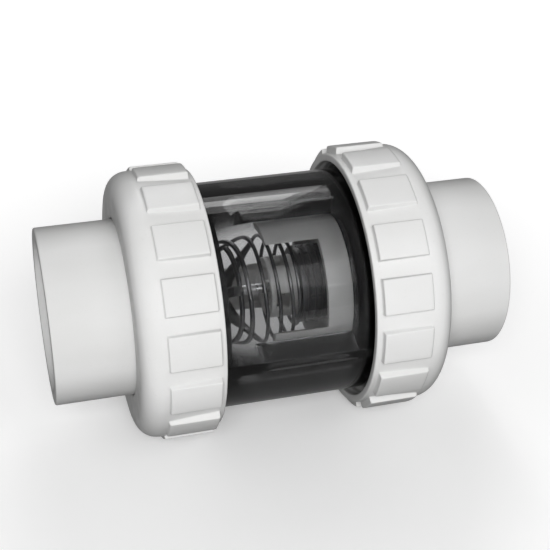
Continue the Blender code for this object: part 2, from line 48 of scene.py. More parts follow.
# Sizes that the pieces share with each other or with the CAD model.
PITCH = 6.0
THREAD_START = 34.4
NUT_THREAD_START = 35.4
BODY_R = 47.35
BODY_BORE = 38.2
BODY_END = 48.6
FLANGE_FACE = BODY_END + 0.3
FLANGE_BACK = BODY_END + 8.3
SOCKET_STOP = 56.8
HALF_LENGTH = 94.9
RIBS = 3
RIB_PHASE = 47.0
PADS = 16
PAD_R = 56.84
WINGS = 3
WING_PHASE = 60.0
ARMS = 4
ARM_PHASE = 57.0
POST_AT = 20.1
STRUT = (14.5, 3.0, 3.4)  # length, width, thickness
STRUT_AT = (-24.3, 31.0)  # (x, radius) of its middle
STRUT_TILT = 42.0
CLIP_INNER_R = 35.2
CLIP_OUTER_R = 39.5
CLIP_HALF_OPENING = 12.0
STEM_R = 2.2
STEM_BORE_R = 2.5
FLOOR = -56.845

# The threads as they are drawn: each ridge has sloping flanks and fades out at both ends.
THREAD_TURNS = 2.0
THREAD_BASE = 2.9
THREAD_FADE = 0.1  # turns
BODY_THREAD = (2.25, 1.7)  # height, width of the crest
NUT_THREAD = (2.2, 1.5)
NUT_THREAD_TURN = 120.0  # keeps the nut's ridge half a pitch from the body's
NUT_THREAD_WALL = 50.0
STEM_THREAD = (-27.8, -17.5)
STEM_THREAD_PITCH = 0.8
STEM_THREAD_DEPTH = 0.26

# The spring: flat end coils, an even pitch between them, and a narrow end in the poppet.
WIRE_R = 0.8
SPRING_LOW = -16.3
SPRING_HIGH = 8.8
SPRING_WIDE_R = 22.6
SPRING_TAPER = 7.3  # how much narrower its small end is
SPRING_TAPER_POWER = 7  # closes in over the last turns only
DEAD_TURNS = 0.9
DEAD_PITCH = 2.1
ACTIVE_TURNS = 3.8
SPRING_PHASE = 146.75
WIRE_STEPS = 48  # stations on each turn
WIRE_SIDES = 14


# ---------------------------------------------------------------- mesh tools


def place(x, radius, degrees):
    """A point in metres from its place along the axis, its distance from it and its angle."""
    angle = math.radians(degrees)
    return Vector((x, radius * math.sin(angle), -radius * math.cos(angle))) * MM


def mesh_object(name, shape, smooth=True):
    mesh = bpy.data.meshes.new(name)
    bmesh.ops.remove_doubles(shape, verts=shape.verts, dist=0.000001)
    bmesh.ops.recalc_face_normals(shape, faces=shape.faces)
    shape.to_mesh(mesh)
    shape.free()
    if smooth:
        mesh.shade_smooth()
    obj = bpy.data.objects.new(name, mesh)
    bpy.context.scene.collection.objects.link(obj)
    return obj


def loft(name, rings, matrix=None, closed=True):
    """A skin through rings of equally many points. Closed, the last ring joins the first."""
    shape = bmesh.new()
    rows = [[shape.verts.new(matrix @ p if matrix else p) for p in ring] for ring in rings]
    pairs = list(zip(rows, rows[1:]))
    if closed:
        pairs.append((rows[-1], rows[0]))
    for before, after in pairs:
        for i in range(len(before)):
            j = (i + 1) % len(before)
            shape.faces.new((before[i], before[j], after[j], after[i]))
    return mesh_object(name, shape)


def rounded(points):
    """A closed outline with each corner of (x, radius, fillet) rounded, as (x, radius) points."""
    steps = 3
    most = 0.48  # of a side that a fillet may take, so that two never meet
    made = []
    for i, (x, radius, fillet) in enumerate(points):
        corner = Vector((x, radius))
        before = Vector(points[i - 1][:2])
        after = Vector(points[(i + 1) % len(points)][:2])
        if fillet <= 0:
            made.append(corner)
            continue
        reach_in = min(fillet, (before - corner).length * most)
        reach_out = min(fillet, (after - corner).length * most)
        start = corner + (before - corner).normalized() * reach_in
        end = corner + (after - corner).normalized() * reach_out
        for k in range(steps + 1):
            t = k / steps
            made.append(start * (1 - t) ** 2 + corner * 2 * t * (1 - t) + end * t * t)
    return [(p.x, p.y) for p in made]


def turned(name, points, sides=FINE, matrix=None):
    """A ring turned about the valve's axis."""
    rings = [
        [place(x, radius, 360 * i / sides) for i in range(sides)] for x, radius in rounded(points)
    ]
    return loft(name, rings, matrix)


def bar(name, low, high, degrees):
    """A box given by (x, radius outwards, sideways) corners, at an angle about the axis."""
    shape = bmesh.new()
    bmesh.ops.create_cube(shape, size=1.0)
    turn = Matrix.Rotation(math.radians(degrees), 4, "X")
    low, high = Vector(low), Vector(high)
    for vert in shape.verts:
        x, out, side = (low + high) / 2 + Vector([v * s for v, s in zip(vert.co, high - low)])
        vert.co = turn @ (Vector((x, side, -out)) * MM)
    return mesh_object(name, shape, smooth=False)


def prism(name, low, high, radius, sides, degrees=0.0, centre=None):
    """A prism about the valve's axis, or about a line parallel to it through centre."""
    shift = centre or Vector((0.0, 0.0, 0.0))
    shape = bmesh.new()
    rows = []
    for x in (low, high):
        row = [place(x, radius, degrees + 360 * i / sides) + shift for i in range(sides)]
        rows.append([shape.verts.new(p) for p in row])
    for i in range(sides):
        j = (i + 1) % sides
        shape.faces.new((rows[0][i], rows[0][j], rows[1][j], rows[1][i]))
    shape.faces.new(rows[0])
    shape.faces.new(rows[1])
    return mesh_object(name, shape, smooth=False)


def settle(obj):
    """The object's modifiers become its mesh."""
    graph = bpy.context.evaluated_depsgraph_get()
    mesh = bpy.data.meshes.new_from_object(obj.evaluated_get(graph))
    obj.modifiers.clear()
    old = obj.data
    obj.data = mesh
    bpy.data.meshes.remove(old)


def combine(target, tools, operation):
    for tool in tools:
        boolean = target.modifiers.new("boolean", "BOOLEAN")
        boolean.operation = operation
        boolean.solver = "EXACT"
        boolean.object = tool
    settle(target)
    for tool in tools:
        bpy.data.objects.remove(tool, do_unlink=True)


def crease(obj, degrees=SHARP):
    """Shade smooth, but for edges that turn by more than this."""
    obj.data.shade_smooth()
    obj.data.set_sharp_from_angle(angle=math.radians(degrees))
    return obj


def soften(obj, width):
    """Round off the sharp edges, as moulding or deburring would."""
    bevel = obj.modifiers.new("bevel", "BEVEL")
    bevel.width = width * MM
    bevel.segments = 2
    bevel.limit_method = "ANGLE"
    bevel.angle_limit = math.radians(SHARP)
    settle(obj)
    return crease(obj, 40.0)


def span(first, last, step):
    """Even steps from first to last, both included."""
    count = max(1, round(abs(last - first) / step))
    return [first + (last - first) * i / count for i in range(count + 1)]


def ridge(x, degrees, first, thread):
    """How far a helical ridge stands off a point of its wall."""
    height, crest = thread
    turn = round((x - first) / PITCH - degrees / 360)
    along = degrees / 360 + turn
    if along < 0 or along > THREAD_TURNS:
        return 0.0
    off = abs(x - first - PITCH * along)
    rise = min(1.0, max(0.0, (THREAD_BASE / 2 - off) / ((THREAD_BASE - crest) / 2)))
    return height * rise * min(1.0, along / THREAD_FADE, (THREAD_TURNS - along) / THREAD_FADE)


# ---------------------------------------------------------------- materials


def grey(tone, blue=0.0):
    """A grey whose blue may lie a little above or below the rest."""
    return (tone, tone, tone + blue)


class Finish:
    """A material built up on one Principled shader. Its bumps lie one on another."""

    def __init__(self, name, colour, roughness, metallic=0.0):
        self.made = bpy.data.materials.new(name)
        self.made.use_nodes = True
        self.tree = self.made.node_tree
        self.shader = self.tree.nodes["Principled BSDF"]
        self.shader.inputs["Base Color"].default_value = (*colour, 1.0)
        self.shader.inputs["Roughness"].default_value = roughness
        self.shader.inputs["Metallic"].default_value = metallic
        self.height = None

    def node(self, kind, **values):
        made = self.tree.nodes.new(kind)
        for key, value in values.items():
            made.inputs[key].default_value = value
        return made

    def link(self, source, target):
        self.tree.links.new(source, target)

    def grain(self, scale, detail=4.0, stretch=(1.0, 1.0, 1.0)):
        """A noise over the piece in the valve's own metres."""
        place_at = self.node("ShaderNodeTexCoord")
        mapping = self.node("ShaderNodeMapping", Scale=stretch)
        noise = self.node("ShaderNodeTexNoise", Scale=scale, Detail=detail, Roughness=0.55)
        self.link(place_at.outputs["Object"], mapping.inputs["Vector"])
        self.link(mapping.outputs["Vector"], noise.inputs["Vector"])
        return noise.outputs["Fac"]

    def ramp(self, source, stops):
        """Colours by value: each stop is (value, colour)."""
        ramp = self.node("ShaderNodeValToRGB")
        while len(ramp.color_ramp.elements) < len(stops):
            ramp.color_ramp.elements.new(0.5)
        for element, (position, colour) in zip(ramp.color_ramp.elements, stops):
            element.position = position
            element.color = (*colour, 1.0)
        self.link(source, ramp.inputs["Fac"])
        return ramp.outputs["Color"]

    def spread(self, source, low, high, start=0.3, end=0.7):
        """Goes from low to high as the source goes from start to end."""
        spread = self.node("ShaderNodeMapRange")
        spread.inputs["From Min"].default_value = start
        spread.inputs["From Max"].default_value = end
        spread.inputs["To Min"].default_value = low
        spread.inputs["To Max"].default_value = high
        self.link(source, spread.inputs["Value"])
        return spread.outputs["Result"]

    def mix(self, factor, first, second, blend="MIX"):
        """Two colours mixed. A factor or colour is a plain value or another node's output."""
        factor_in, first_in, second_in, colour_out = 0, 6, 7, 2  # the colour sockets' places
        mix = self.tree.nodes.new("ShaderNodeMix")
        mix.data_type = "RGBA"
        mix.blend_type = blend
        for at, value in ((factor_in, factor), (first_in, first), (second_in, second)):
            socket = mix.inputs[at]
            if isinstance(value, tuple):
                socket.default_value = (*value, 1.0)
            elif isinstance(value, (int, float)):
                socket.default_value = value
            else:
                self.link(value, socket)
        return mix.outputs[colour_out]

    def inside(self, near, far):
        """1 on skin nearer to the valve's axis than near, and 0 beyond far."""
        place_at = self.node("ShaderNodeTexCoord")
        flat = self.node("ShaderNodeVectorMath")
        flat.operation = "MULTIPLY"
        flat.inputs[1].default_value = (0.0, 1.0, 1.0)
        length = self.node("ShaderNodeVectorMath")
        length.operation = "LENGTH"
        self.link(place_at.outputs["Object"], flat.inputs[0])
        self.link(flat.outputs["Vector"], length.inputs[0])
        return self.spread(length.outputs["Value"], 1.0, 0.0, near * MM, far * MM)

    def towards_ends(self, start, full):
        """0 nearer to the valve's middle than start, and 1 beyond full towards either end."""
        place_at = self.node("ShaderNodeTexCoord")
        split = self.node("ShaderNodeSeparateXYZ")
        far = self.node("ShaderNodeMath")
        far.operation = "ABSOLUTE"
        self.link(place_at.outputs["Object"], split.inputs["Vector"])
        self.link(split.outputs["X"], far.inputs[0])
        return self.spread(far.outputs["Value"], 0.0, 1.0, start * MM, full * MM)

    def facing(self):
        """0 where the skin faces the viewer, and 1 where it is seen edge on."""
        return self.node("ShaderNodeLayerWeight", Blend=0.5).outputs["Facing"]

    def edges(self, low, high):
        """1 on worn outer edges and 0 elsewhere."""
        shape = self.node("ShaderNodeNewGeometry")
        return self.spread(shape.outputs["Pointiness"], 0.0, 1.0, low, high)

    def colour(self, source):
        self.link(source, self.shader.inputs["Base Color"])

    def roughness(self, source):
        self.link(source, self.shader.inputs["Roughness"])

    def bump(self, source, distance):
        bump = self.node("ShaderNodeBump", Strength=1.0, Distance=distance * MM)
        self.link(source, bump.inputs["Height"])
        if self.height is not None:
            self.link(self.height, bump.inputs["Normal"])
        self.height = bump.outputs["Normal"]
        self.link(self.height, self.shader.inputs["Normal"])


def white_pvc(name, light, shade, roughness):
    """Moulded white PVC: a faint flow mottle, a fine moulded skin, slightly rubbed edges, and
    painted shade where the skin is seen edge on.
    """
    made = Finish(name, light, roughness)
    clouds = made.grain(24.0, 3.0, (0.5, 1.0, 1.0))
    body = made.ramp(clouds, [(0.3, shade), (0.62, light)])
    specks = made.grain(900.0, 2.0)
    speckled = made.mix(made.spread(specks, 0.0, 0.10, 0.62, 0.78), body, (0.55, 0.54, 0.52))
    rubbed = made.mix(made.edges(0.52, 0.6), speckled, (0.9, 0.9, 0.89))
    # Painted shade: the colour darkens where the skin is seen edge on, standing in for light
    # falling off round the parts.
    painted_edge_on_shade = made.ramp(made.facing(), [(0.3, grey(1.0)), (0.6, grey(0.8)), (0.9, grey(0.5))])
    made.colour(made.mix(1.0, rubbed, painted_edge_on_shade, "MULTIPLY"))
    made.roughness(made.spread(made.grain(160.0, 5.0), roughness - 0.08, roughness + 0.1))
    made.bump(made.grain(2600.0, 2.0), 0.012)
    made.bump(made.grain(60.0, 2.0), 0.06)
    made.shader.inputs["Subsurface Weight"].default_value = 0.04
    made.shader.inputs["Subsurface Radius"].default_value = (0.002, 0.002, 0.0018)
    made.shader.inputs["IOR"].default_value = 1.53
    return made.made


def smoke_pvc():
    """Polished, smoke-tinted, clear PVC, with light scuffs on its skin. It darkens the further
    light goes through it. Its colour holds painted shade where the wall is seen edge on, and
    painted near-black shade from the threaded ends outwards, where the nuts cover it."""
    bore_skin = (37.0, 37.9)
    painted_nut_shade_span = (29.5, 31.5)
    made = Finish("smoke_clear_pvc", grey(0.93, 0.005), 0.04)
    made.shader.inputs["Transmission Weight"].default_value = 1.0
    made.shader.inputs["Specular IOR Level"].default_value = 0.12
    made.shader.inputs["IOR"].default_value = 1.45
    smears = made.grain(45.0, 4.0, (0.35, 1.0, 1.0))
    skin = made.ramp(smears, [(0.3, (0.90, 0.905, 0.91)), (0.7, (0.97, 0.97, 0.975))])
    # Painted shade: the colour darkens where the wall is seen edge on.
    painted_wall_shade = [(0.16, grey(1.0)), (0.28, grey(0.35)), (0.37, grey(0.03)), (0.46, grey(0.002))]
    skin = made.mix(1.0, skin, made.ramp(made.facing(), painted_wall_shade), "MULTIPLY")
    skin = made.mix(made.inside(*bore_skin), skin, grey(0.16, 0.005))
    # Painted shade: near black from the threaded ends outwards, where the nuts cover the body.
    made.colour(made.mix(made.towards_ends(*painted_nut_shade_span), skin, grey(0.015, 0.001)))
    made.roughness(made.spread(made.grain(220.0, 5.0, (0.2, 1.0, 1.0)), 0.01, 0.05))
    made.bump(made.grain(90.0, 2.0), 0.02)
    tint = made.node("ShaderNodeVolumeAbsorption", Color=(0.0, 0.0, 0.0, 1.0), Density=22.0)
    made.link(tint.outputs["Volume"], made.tree.nodes["Material Output"].inputs["Volume"])
    return made.made


def plastic(name, light, shade, roughness, worn):
    """Moulded plastic: a faint mottle, a fine moulded skin and edges worn to another tone."""
    made = Finish(name, light, roughness)
    body = made.ramp(made.grain(90.0, 4.0), [(0.3, shade), (0.7, light)])
    made.colour(made.mix(made.edges(0.52, 0.62), body, worn))
    made.roughness(made.spread(made.grain(400.0, 4.0), roughness - 0.07, roughness + 0.1))
    made.bump(made.grain(2200.0, 2.0), 0.01)
    made.bump(made.grain(150.0, 2.0), 0.03)
    return made.made


def rubber():
    """Black rubber with a dusty bloom."""
    made = Finish("black_rubber", grey(0.02, 0.001), 0.6)
    bloom = [(0.35, (0.014, 0.014, 0.015)), (0.8, (0.045, 0.044, 0.043))]
    made.colour(made.ramp(made.grain(300.0, 5.0), bloom))
    made.roughness(made.spread(made.grain(700.0, 4.0), 0.5, 0.75))
    made.bump(made.grain(1800.0, 3.0), 0.02)
    return made.made


def steel(name, light, shade, roughness, stretch):
    """Stainless steel with drawn or turned lines, whose spacing is set by stretch."""
    made = Finish(name, light, roughness, metallic=1.0)
    lines = made.grain(350.0, 6.0, stretch)
    stain = made.grain(60.0, 4.0)
    body = made.ramp(lines, [(0.3, shade), (0.7, light)])
    made.colour(made.mix(made.spread(stain, 0.0, 0.35, 0.5, 0.8), body, (0.20, 0.19, 0.18)))
    made.roughness(made.spread(lines, roughness - 0.08, roughness + 0.12))
    made.bump(lines, 0.008)
    return made.made


# ---------------------------------------------------------------- pieces


PAD_COLUMNS = (  # degrees from a pad's middle, and how much of the pad's height stands there
    (0.0, 1.0),
    (2.5, 1.0),
    (4.8, 1.0),
    (6.5, 1.0),
    (6.95, 0.985),
    (7.2, 0.93),
    (7.36, 0.80),
    (7.56, 0.14),
    (7.75, 0.03),
    (8.2, 0.0),
    (9.6, 0.0),
    (11.25, 0.0),
)


def nut_angles(phase):
    """(degrees, height of the pads there) once round the nut."""
    found = []
    for pad in range(PADS):
        middle = phase + 360 / PADS * pad
        for off, height in reversed(PAD_COLUMNS[1:]):
            found.append((middle - off, height))
        found.append((middle, 1.0))
        for off, height in PAD_COLUMNS[1:-1]:
            found.append((middle + off, height))
    return found


def union_nut(name, matrix, phase):
    """The nut's skin: each station is (x, radius, how much of the pads stands there)."""
    arc_x, arc_r, arc = 55.1, 47.0, 8.3  # the round shoulder's centre and radius
    wall_r = NUT_THREAD_WALL
    stations = [(31.0, 50.45, 0.0), (30.5, 50.55, 0.0), (30.25, 50.8, 0.0), (30.2, 51.2, 0.0)]
    stations += [(30.2, 52.9, 0.0), (30.27, 53.4, 0.0), (30.5, 53.7, 0.0), (30.9, 53.8, 0.0)]
    stations += [(32.0, 53.85, 0.0), (32.35, 53.9, 0.0), (32.55, 53.93, 0.06), (32.66, 53.95, 0.75)]
    stations += [(32.85, 53.96, 0.93), (33.2, 53.98, 0.985), (33.7, 54.0, 1.0), (38.0, 54.2, 1.0)]
    stations += [(45.0, 54.6, 1.0), (51.6, 55.1, 1.0), (52.4, 55.15, 0.985), (52.8, 55.2, 0.93)]
    stations += [(53.05, 55.22, 0.75), (53.25, 55.24, 0.06), (53.5, 55.26, 0.0), (54.3, 55.3, 0.0)]
    for degrees in span(0.0, 90.0, 7.5):
        angle = math.radians(degrees)
        stations.append((arc_x + arc * math.sin(angle), arc_r + arc * math.cos(angle), 0.0))
    stations += [(63.4, 44.0, 0.0), (63.4, 40.0, 0.0), (63.4, 38.0, 0.0), (63.32, 37.5, 0.0)]
    stations += [(63.1, 37.15, 0.0), (62.6, 37.0, 0.0), (60.0, 37.0, 0.0), (57.5, 37.0, 0.0)]
    stations += [(57.25, 37.1, 0.0), (57.2, 37.4, 0.0), (57.2, 43.0, 0.0), (57.2, 49.3, 0.0)]
    stations += [(57.05, 49.8, 0.0), (56.6, wall_r, 0.0), (50.0, wall_r, 0.0)]
    stations += [(x, wall_r, 0.0) for x in span(48.6, 34.6, 0.25)]
    stations += [(34.0, wall_r, 0.0), (33.5, 50.1, 0.0), (33.2, 50.45, 0.0), (32.0, 50.45, 0.0)]
    angles = nut_angles(phase)
    rings = []
    for x, radius, pads in stations:
        ring = []
        for degrees, height in angles:
            out = radius + (PAD_R - radius) * pads * height
            if radius == wall_r:
                out -= ridge(x, degrees + NUT_THREAD_TURN, NUT_THREAD_START, NUT_THREAD)
            ring.append(place(x, out, degrees))
        rings.append(ring)
    return loft(name, rings, matrix)


def rib_section():
    """Once round the body's bore: (plain degrees, radius at a rib, degrees at a rib)."""
    rib = [(28.9, 0.0, 0.0), (28.9, 1.0, 0.35), (29.05, 1.4, 0.7), (29.45, 1.6, 1.05)]
    rib += [(33.5, 1.6, 1.5), (37.0, 1.62, 2.0), (37.75, 1.85, 2.6), (38.1, 2.35, 3.3)]
    clear, step = 4.5, 3.0  # the plain bore's distance from a rib's middle, and its facets
    found = []
    apart = 360 / RIBS
    for i in range(RIBS):
        middle = RIB_PHASE + apart * i
        for side in (-1, 1):
            half = []
            for out, aside, plain in rib[(side + 1) // 2 :]:
                lean = math.degrees(math.atan2(aside, out))
                half.append((middle + side * plain, math.hypot(out, aside), middle + side * lean))
            found += half[::-1] if side < 0 else half
        for degrees in span(middle + clear, middle + apart - clear, step):
            found.append((degrees, BODY_BORE, degrees))
    return found


def valve_body():
    """The clear tube. Its rings run down the outside, round the outlet's face, back through the
    bore and its ribs, and round the inlet's face."""
    threaded_from = 33.0
    outer = [(48.6, 45.3), (48.6, 46.7), (48.52, 47.0), (48.3, 47.25), (48.0, BODY_R)]
    outer += [(x, BODY_R) for x in span(47.4, 33.4, 0.25)]
    outer += [(x, BODY_R) for x in (30.0, 20.0, 10.0, 0.0, -10.0, -20.0, -30.0)]
    outer += [(x, BODY_R) for x in span(-33.4, -47.4, 0.25)]
    outer += [(-48.0, BODY_R), (-48.3, 47.25), (-48.52, 47.0), (-48.6, 46.7), (-48.6, 45.3)]
    groove = [(48.6, 45.1), (48.45, 44.9), (45.7, 44.9), (45.5, 44.7), (45.5, 41.9), (45.7, 41.7)]
    groove += [(48.45, 41.7), (48.6, 41.5)]
    outlet_face = [(-x, radius) for x, radius in groove]
    outlet_face += [(-48.6, 39.1), (-48.45, 38.6), (-48.0, 38.3), (-47.4, BODY_BORE)]
    outlet_face += [(-33.0, BODY_BORE), (-32.9, 38.3), (-32.9, 39.8), (-30.5, 39.8)]
    outlet_face += [(-30.5, 38.3), (-30.4, BODY_BORE), (-13.05, BODY_BORE)]
    inlet_bore = [(27.65, BODY_BORE), (36.0, BODY_BORE), (44.8, BODY_BORE), (45.0, 38.4)]
    inlet_bore += [(45.0, 40.1), (45.15, 40.3), (48.3, 40.3), (48.6, 40.6)]
    section = rib_section()
    rings = []
    for x, radius in outer + outlet_face:
        ring = []
        for degrees, _, _ in section:
            out = radius
            if radius == BODY_R and abs(x) > threaded_from:
                own = degrees if x > 0 else -degrees
                out += ridge(abs(x), own % 360, THREAD_START, BODY_THREAD)
            ring.append(place(x, out, degrees))
        rings.append(ring)
    for x in (-13.0, -5.0, 3.0, 11.0, 19.0, 27.6):
        rings.append([place(x, radius, degrees) for _, radius, degrees in section])
    for x, radius in inlet_bore + groove[::-1]:
        rings.append([place(x, radius, degrees) for degrees, _, _ in section])
    return loft("clear_body", rings)


def end_connector(name, matrix):
    points = [
        (HALF_LENGTH, 31.3, 0.5),
        (HALF_LENGTH, 36.5, 0.9),
        (75.0, 36.5, 0.0),
        (FLANGE_BACK + 1.4, 36.5, 0.0),
        (FLANGE_BACK, 36.9, 0.6),
        (FLANGE_BACK, 46.4, 1.2),
        (FLANGE_FACE, 46.4, 0.5),
        (FLANGE_FACE, 43.6, 0.0),
        (FLANGE_FACE, 26.0, 0.6),
        (SOCKET_STOP, 26.0, 1.0),
        (SOCKET_STOP, 29.9, 0.5),
        (80.0, 30.25, 0.0),
        (HALF_LENGTH - 2.0, 30.35, 0.4),
    ]
    return turned(name, points, FINEST, matrix)


def torus(name, x, centre_r, section_r, matrix=None):
    """An O-ring, with the faint flash line of its mould inside and out."""
    sides, flash = 24, 0.05
    rings = []
    for i in range(sides):
        angle = 2 * math.pi * i / sides
        radius = section_r + (flash if i in (0, sides // 2) else 0.0)
        along, out = x + radius * math.sin(angle), centre_r + radius * math.cos(angle)
        rings.append([place(along, out, 360 * j / FINEST) for j in range(FINEST)])
    return loft(name, rings, matrix)


def seat_ring():
    points = [
        (48.6, 26.8, 0.5),
        (48.6, 39.9, 0.3),
        (45.3, 39.9, 0.3),
        (45.3, 37.85, 0.2),
        (43.7, 37.85, 0.2),
        (43.7, 35.3, 0.3),
        (40.9, 35.3, 0.3),
        (40.9, 37.85, 0.2),
        (30.8, 37.85, 0.4),
        (30.8, 28.0, 0.5),
        (30.2, 26.6, 0.3),
        (30.2, 25.2, 0.3),
        (31.3, 24.0, 0.5),
        (44.1, 24.0, 0.8),
    ]
    return turned("seat_ring_moulding", points)


def poppet():
    """A cup cut away between its three long wings, which slide inside the body's ribs."""
    cup = [
        (28.0, 2.6, 0.3),
        (28.0, 17.0, 0.0),
        (28.0, 28.2, 0.5),
        (-5.0, 28.2, 0.5),
        (-5.0, 25.4, 0.5),
        (24.0, 25.4, 1.2),
        (24.0, 2.6, 0.3),
    ]
    body = turned("poppet_moulding", cup)
    windows = []
    for i in range(WINGS):
        degrees = WING_PHASE + 360 / WINGS * (i + 0.5)
        windows.append(bar("window", (-8.0, 17.8, -17.5), (17.4, 31.0, 17.5), degrees))
    combine(body, windows, "DIFFERENCE")
    return soften(body, 0.3)


def spring_hub():
    """The dark hub that carries the spring's narrow end, with moulded grooves round it."""
    grooves, pitch, notch_count = 4, 3.1, 16
    points = [(23.7, 2.6, 0.2), (23.7, 16.4, 0.4)]
    top = 23.0
    for _ in range(grooves):
        points += [(top, 16.5, 0.15), (top - 0.55, 15.5, 0.2)]
        points += [(top - 1.1, 15.5, 0.2), (top - 1.6, 16.5, 0.15)]
        top -= pitch
    points += [(10.0, 16.4, 0.4), (10.0, 2.6, 0.2)]
    hub = turned("hub_moulding", points, MEDIUM)
    notches = []
    for i in range(notch_count):
        degrees = 360 / notch_count * (i + 0.5)
        notches.append(bar("notch", (11.5, 16.0, -0.7), (24.6, 18.0, 0.7), degrees))
    combine(hub, notches, "DIFFERENCE")
    return crease(hub)


def spring_guide():
    """The light sleeve inside the spring, with a window in each quarter."""
    points = [
        (9.7, 2.6, 0.2),
        (9.7, 13.0, 0.4),
        (-2.5, 13.0, 0.4),
        (-2.5, 10.3, 0.3),
        (6.5, 10.3, 0.6),
        (6.5, 2.6, 0.2),
    ]
    guide = turned("guide_moulding", points, MEDIUM)
    windows = []
    for degrees in (0.0, 90.0, 180.0, 270.0):
        windows.append(bar("window", (-0.5, 8.5, -4.0), (5.4, 15.0, 4.0), degrees))
    combine(guide, windows, "DIFFERENCE")
    return soften(guide, 0.25)


def stem():
    """The stem bolt, threaded at its free end, with a socket in its head."""
    stations = [(35.0, 0.0), (35.0, 3.9), (34.85, 4.25), (34.5, 4.45), (34.0, 4.5), (32.3, 4.5)]
    stations += [(32.05, 4.4), (32.0, 4.2), (32.0, 2.4)]
    stations += [(x, STEM_R) for x in (31.8, 20.0, -17.0)]
    stations += [(x, STEM_R) for x in span(-18.0, -27.7, 0.1)]
    stations += [(-28.1, 1.8), (-28.5, 1.4), (-28.5, 0.0)]
    rings = []
    for x, radius in stations:
        ring = []
        for i in range(SMALL):
            out = radius
            if STEM_THREAD[0] < x < STEM_THREAD[1]:
                off = (x / STEM_THREAD_PITCH - i / SMALL) % 1.0
                out -= STEM_THREAD_DEPTH * abs(2 * off - 1)
            ring.append(place(x, out, 360 * i / SMALL))
        rings.append(ring)
    bolt = loft("stem_bolt_steel", rings, closed=False)
    combine(bolt, [prism("socket", 33.3, 36.0, 2.3, 6)], "DIFFERENCE")
    return crease(bolt)


def hex_nut(name, low, degrees):
    """A plain nut with chamfered corners."""
    high, corner, past, chamfer = low + 3.1, 4.2, 1.0, 0.5
    bore_sides = 32
    body = prism(name, low, high, corner, 6, degrees)
    form = [(high, 0.0, 0.0), (high, 3.5, 0.1), (high - chamfer, 4.4, 0.0)]
    form += [(low + chamfer, 4.4, 0.0), (low, 3.5, 0.1), (low, 0.0, 0.0)]
    combine(body, [turned("form", form, SMALL)], "INTERSECT")
    combine(body, [prism("bore", low - past, high + past, STEM_BORE_R, bore_sides)], "DIFFERENCE")
    return soften(body, 0.12)


def strut(name, degrees):
    """A bar that slopes back from an arm of the spring retainer to its rim."""
    length, width, thickness = STRUT
    middle_x, middle_r = STRUT_AT
    tilt = math.radians(STRUT_TILT)
    turn = Matrix.Rotation(math.radians(degrees), 4, "X")
    shape = bmesh.new()
    bmesh.ops.create_cube(shape, size=1.0)
    for vert in shape.verts:
        along, side, thick = length * vert.co.x, width * vert.co.y, thickness * vert.co.z
        out = middle_r + along * math.cos(tilt) + thick * math.sin(tilt)
        x = middle_x - along * math.sin(tilt) + thick * math.cos(tilt)
        vert.co = turn @ (Vector((x, side, -out)) * MM)
    return mesh_object(name, shape, smooth=False)


def spring_retainer():
    """The black carrier: a rim held by a circlip, and four arms that seat the spring."""
    hub_sides, post_sides = 64, 24
    rim = [(-25.5, 34.6, 0.3), (-25.5, 37.8, 0.4), (-30.5, 37.8, 0.4), (-30.5, 34.6, 0.3)]
    carrier = turned("retainer_moulding", rim)
    hub = [(-14.6, 4.0, 0.2), (-14.6, 5.55, 0.4), (-21.8, 5.55, 0.4), (-21.8, 4.0, 0.2)]
    tools = [turned("hub", hub, hub_sides)]
    for i in range(ARMS):
        degrees = ARM_PHASE + 360 / ARMS * i
        tools.append(bar("arm", (-21.5, 4.8, -2.0), (-17.5, 29.0, 2.0), degrees))
        tools.append(strut("strut", degrees))
        centre = place(0.0, POST_AT, degrees)
        tools.append(prism("post", -18.5, -14.5, 1.2, post_sides, centre=centre))
    combine(carrier, tools, "UNION")
    return soften(carrier, 0.25)


def retaining_ring():
    """An internal circlip: a split ring with a holed lug on each side of its opening."""
    low, high = -32.6, -30.8
    past_low, past_high = -34.0, -29.0
    half_lug, hole_at, hole_r, hole_sides = 2.5, 33.0, 1.1, 24
    ring = [(high, CLIP_INNER_R, 0.1), (high, CLIP_OUTER_R, 0.1)]
    ring += [(low, CLIP_OUTER_R, 0.1), (low, CLIP_INNER_R, 0.1)]
    clip = turned("circlip", ring)
    lug_angle = CLIP_HALF_OPENING + math.degrees(half_lug / CLIP_INNER_R)
    cut = CLIP_INNER_R * math.sin(math.radians(CLIP_HALF_OPENING))
    lugs = []
    tools = [bar("gap", (past_low, 34.0, -cut), (past_high, 41.0, cut), 0.0)]
    for degrees in (-lug_angle, lug_angle):
        lugs.append(bar("lug", (-32.5, 30.7, -half_lug), (-30.9, 36.2, half_lug), degrees))
        centre = place(0.0, hole_at, degrees)
        tools.append(prism("hole", past_low, past_high, hole_r, hole_sides, centre=centre))
    combine(clip, lugs, "UNION")
    combine(clip, tools, "DIFFERENCE")
    return soften(clip, 0.12)


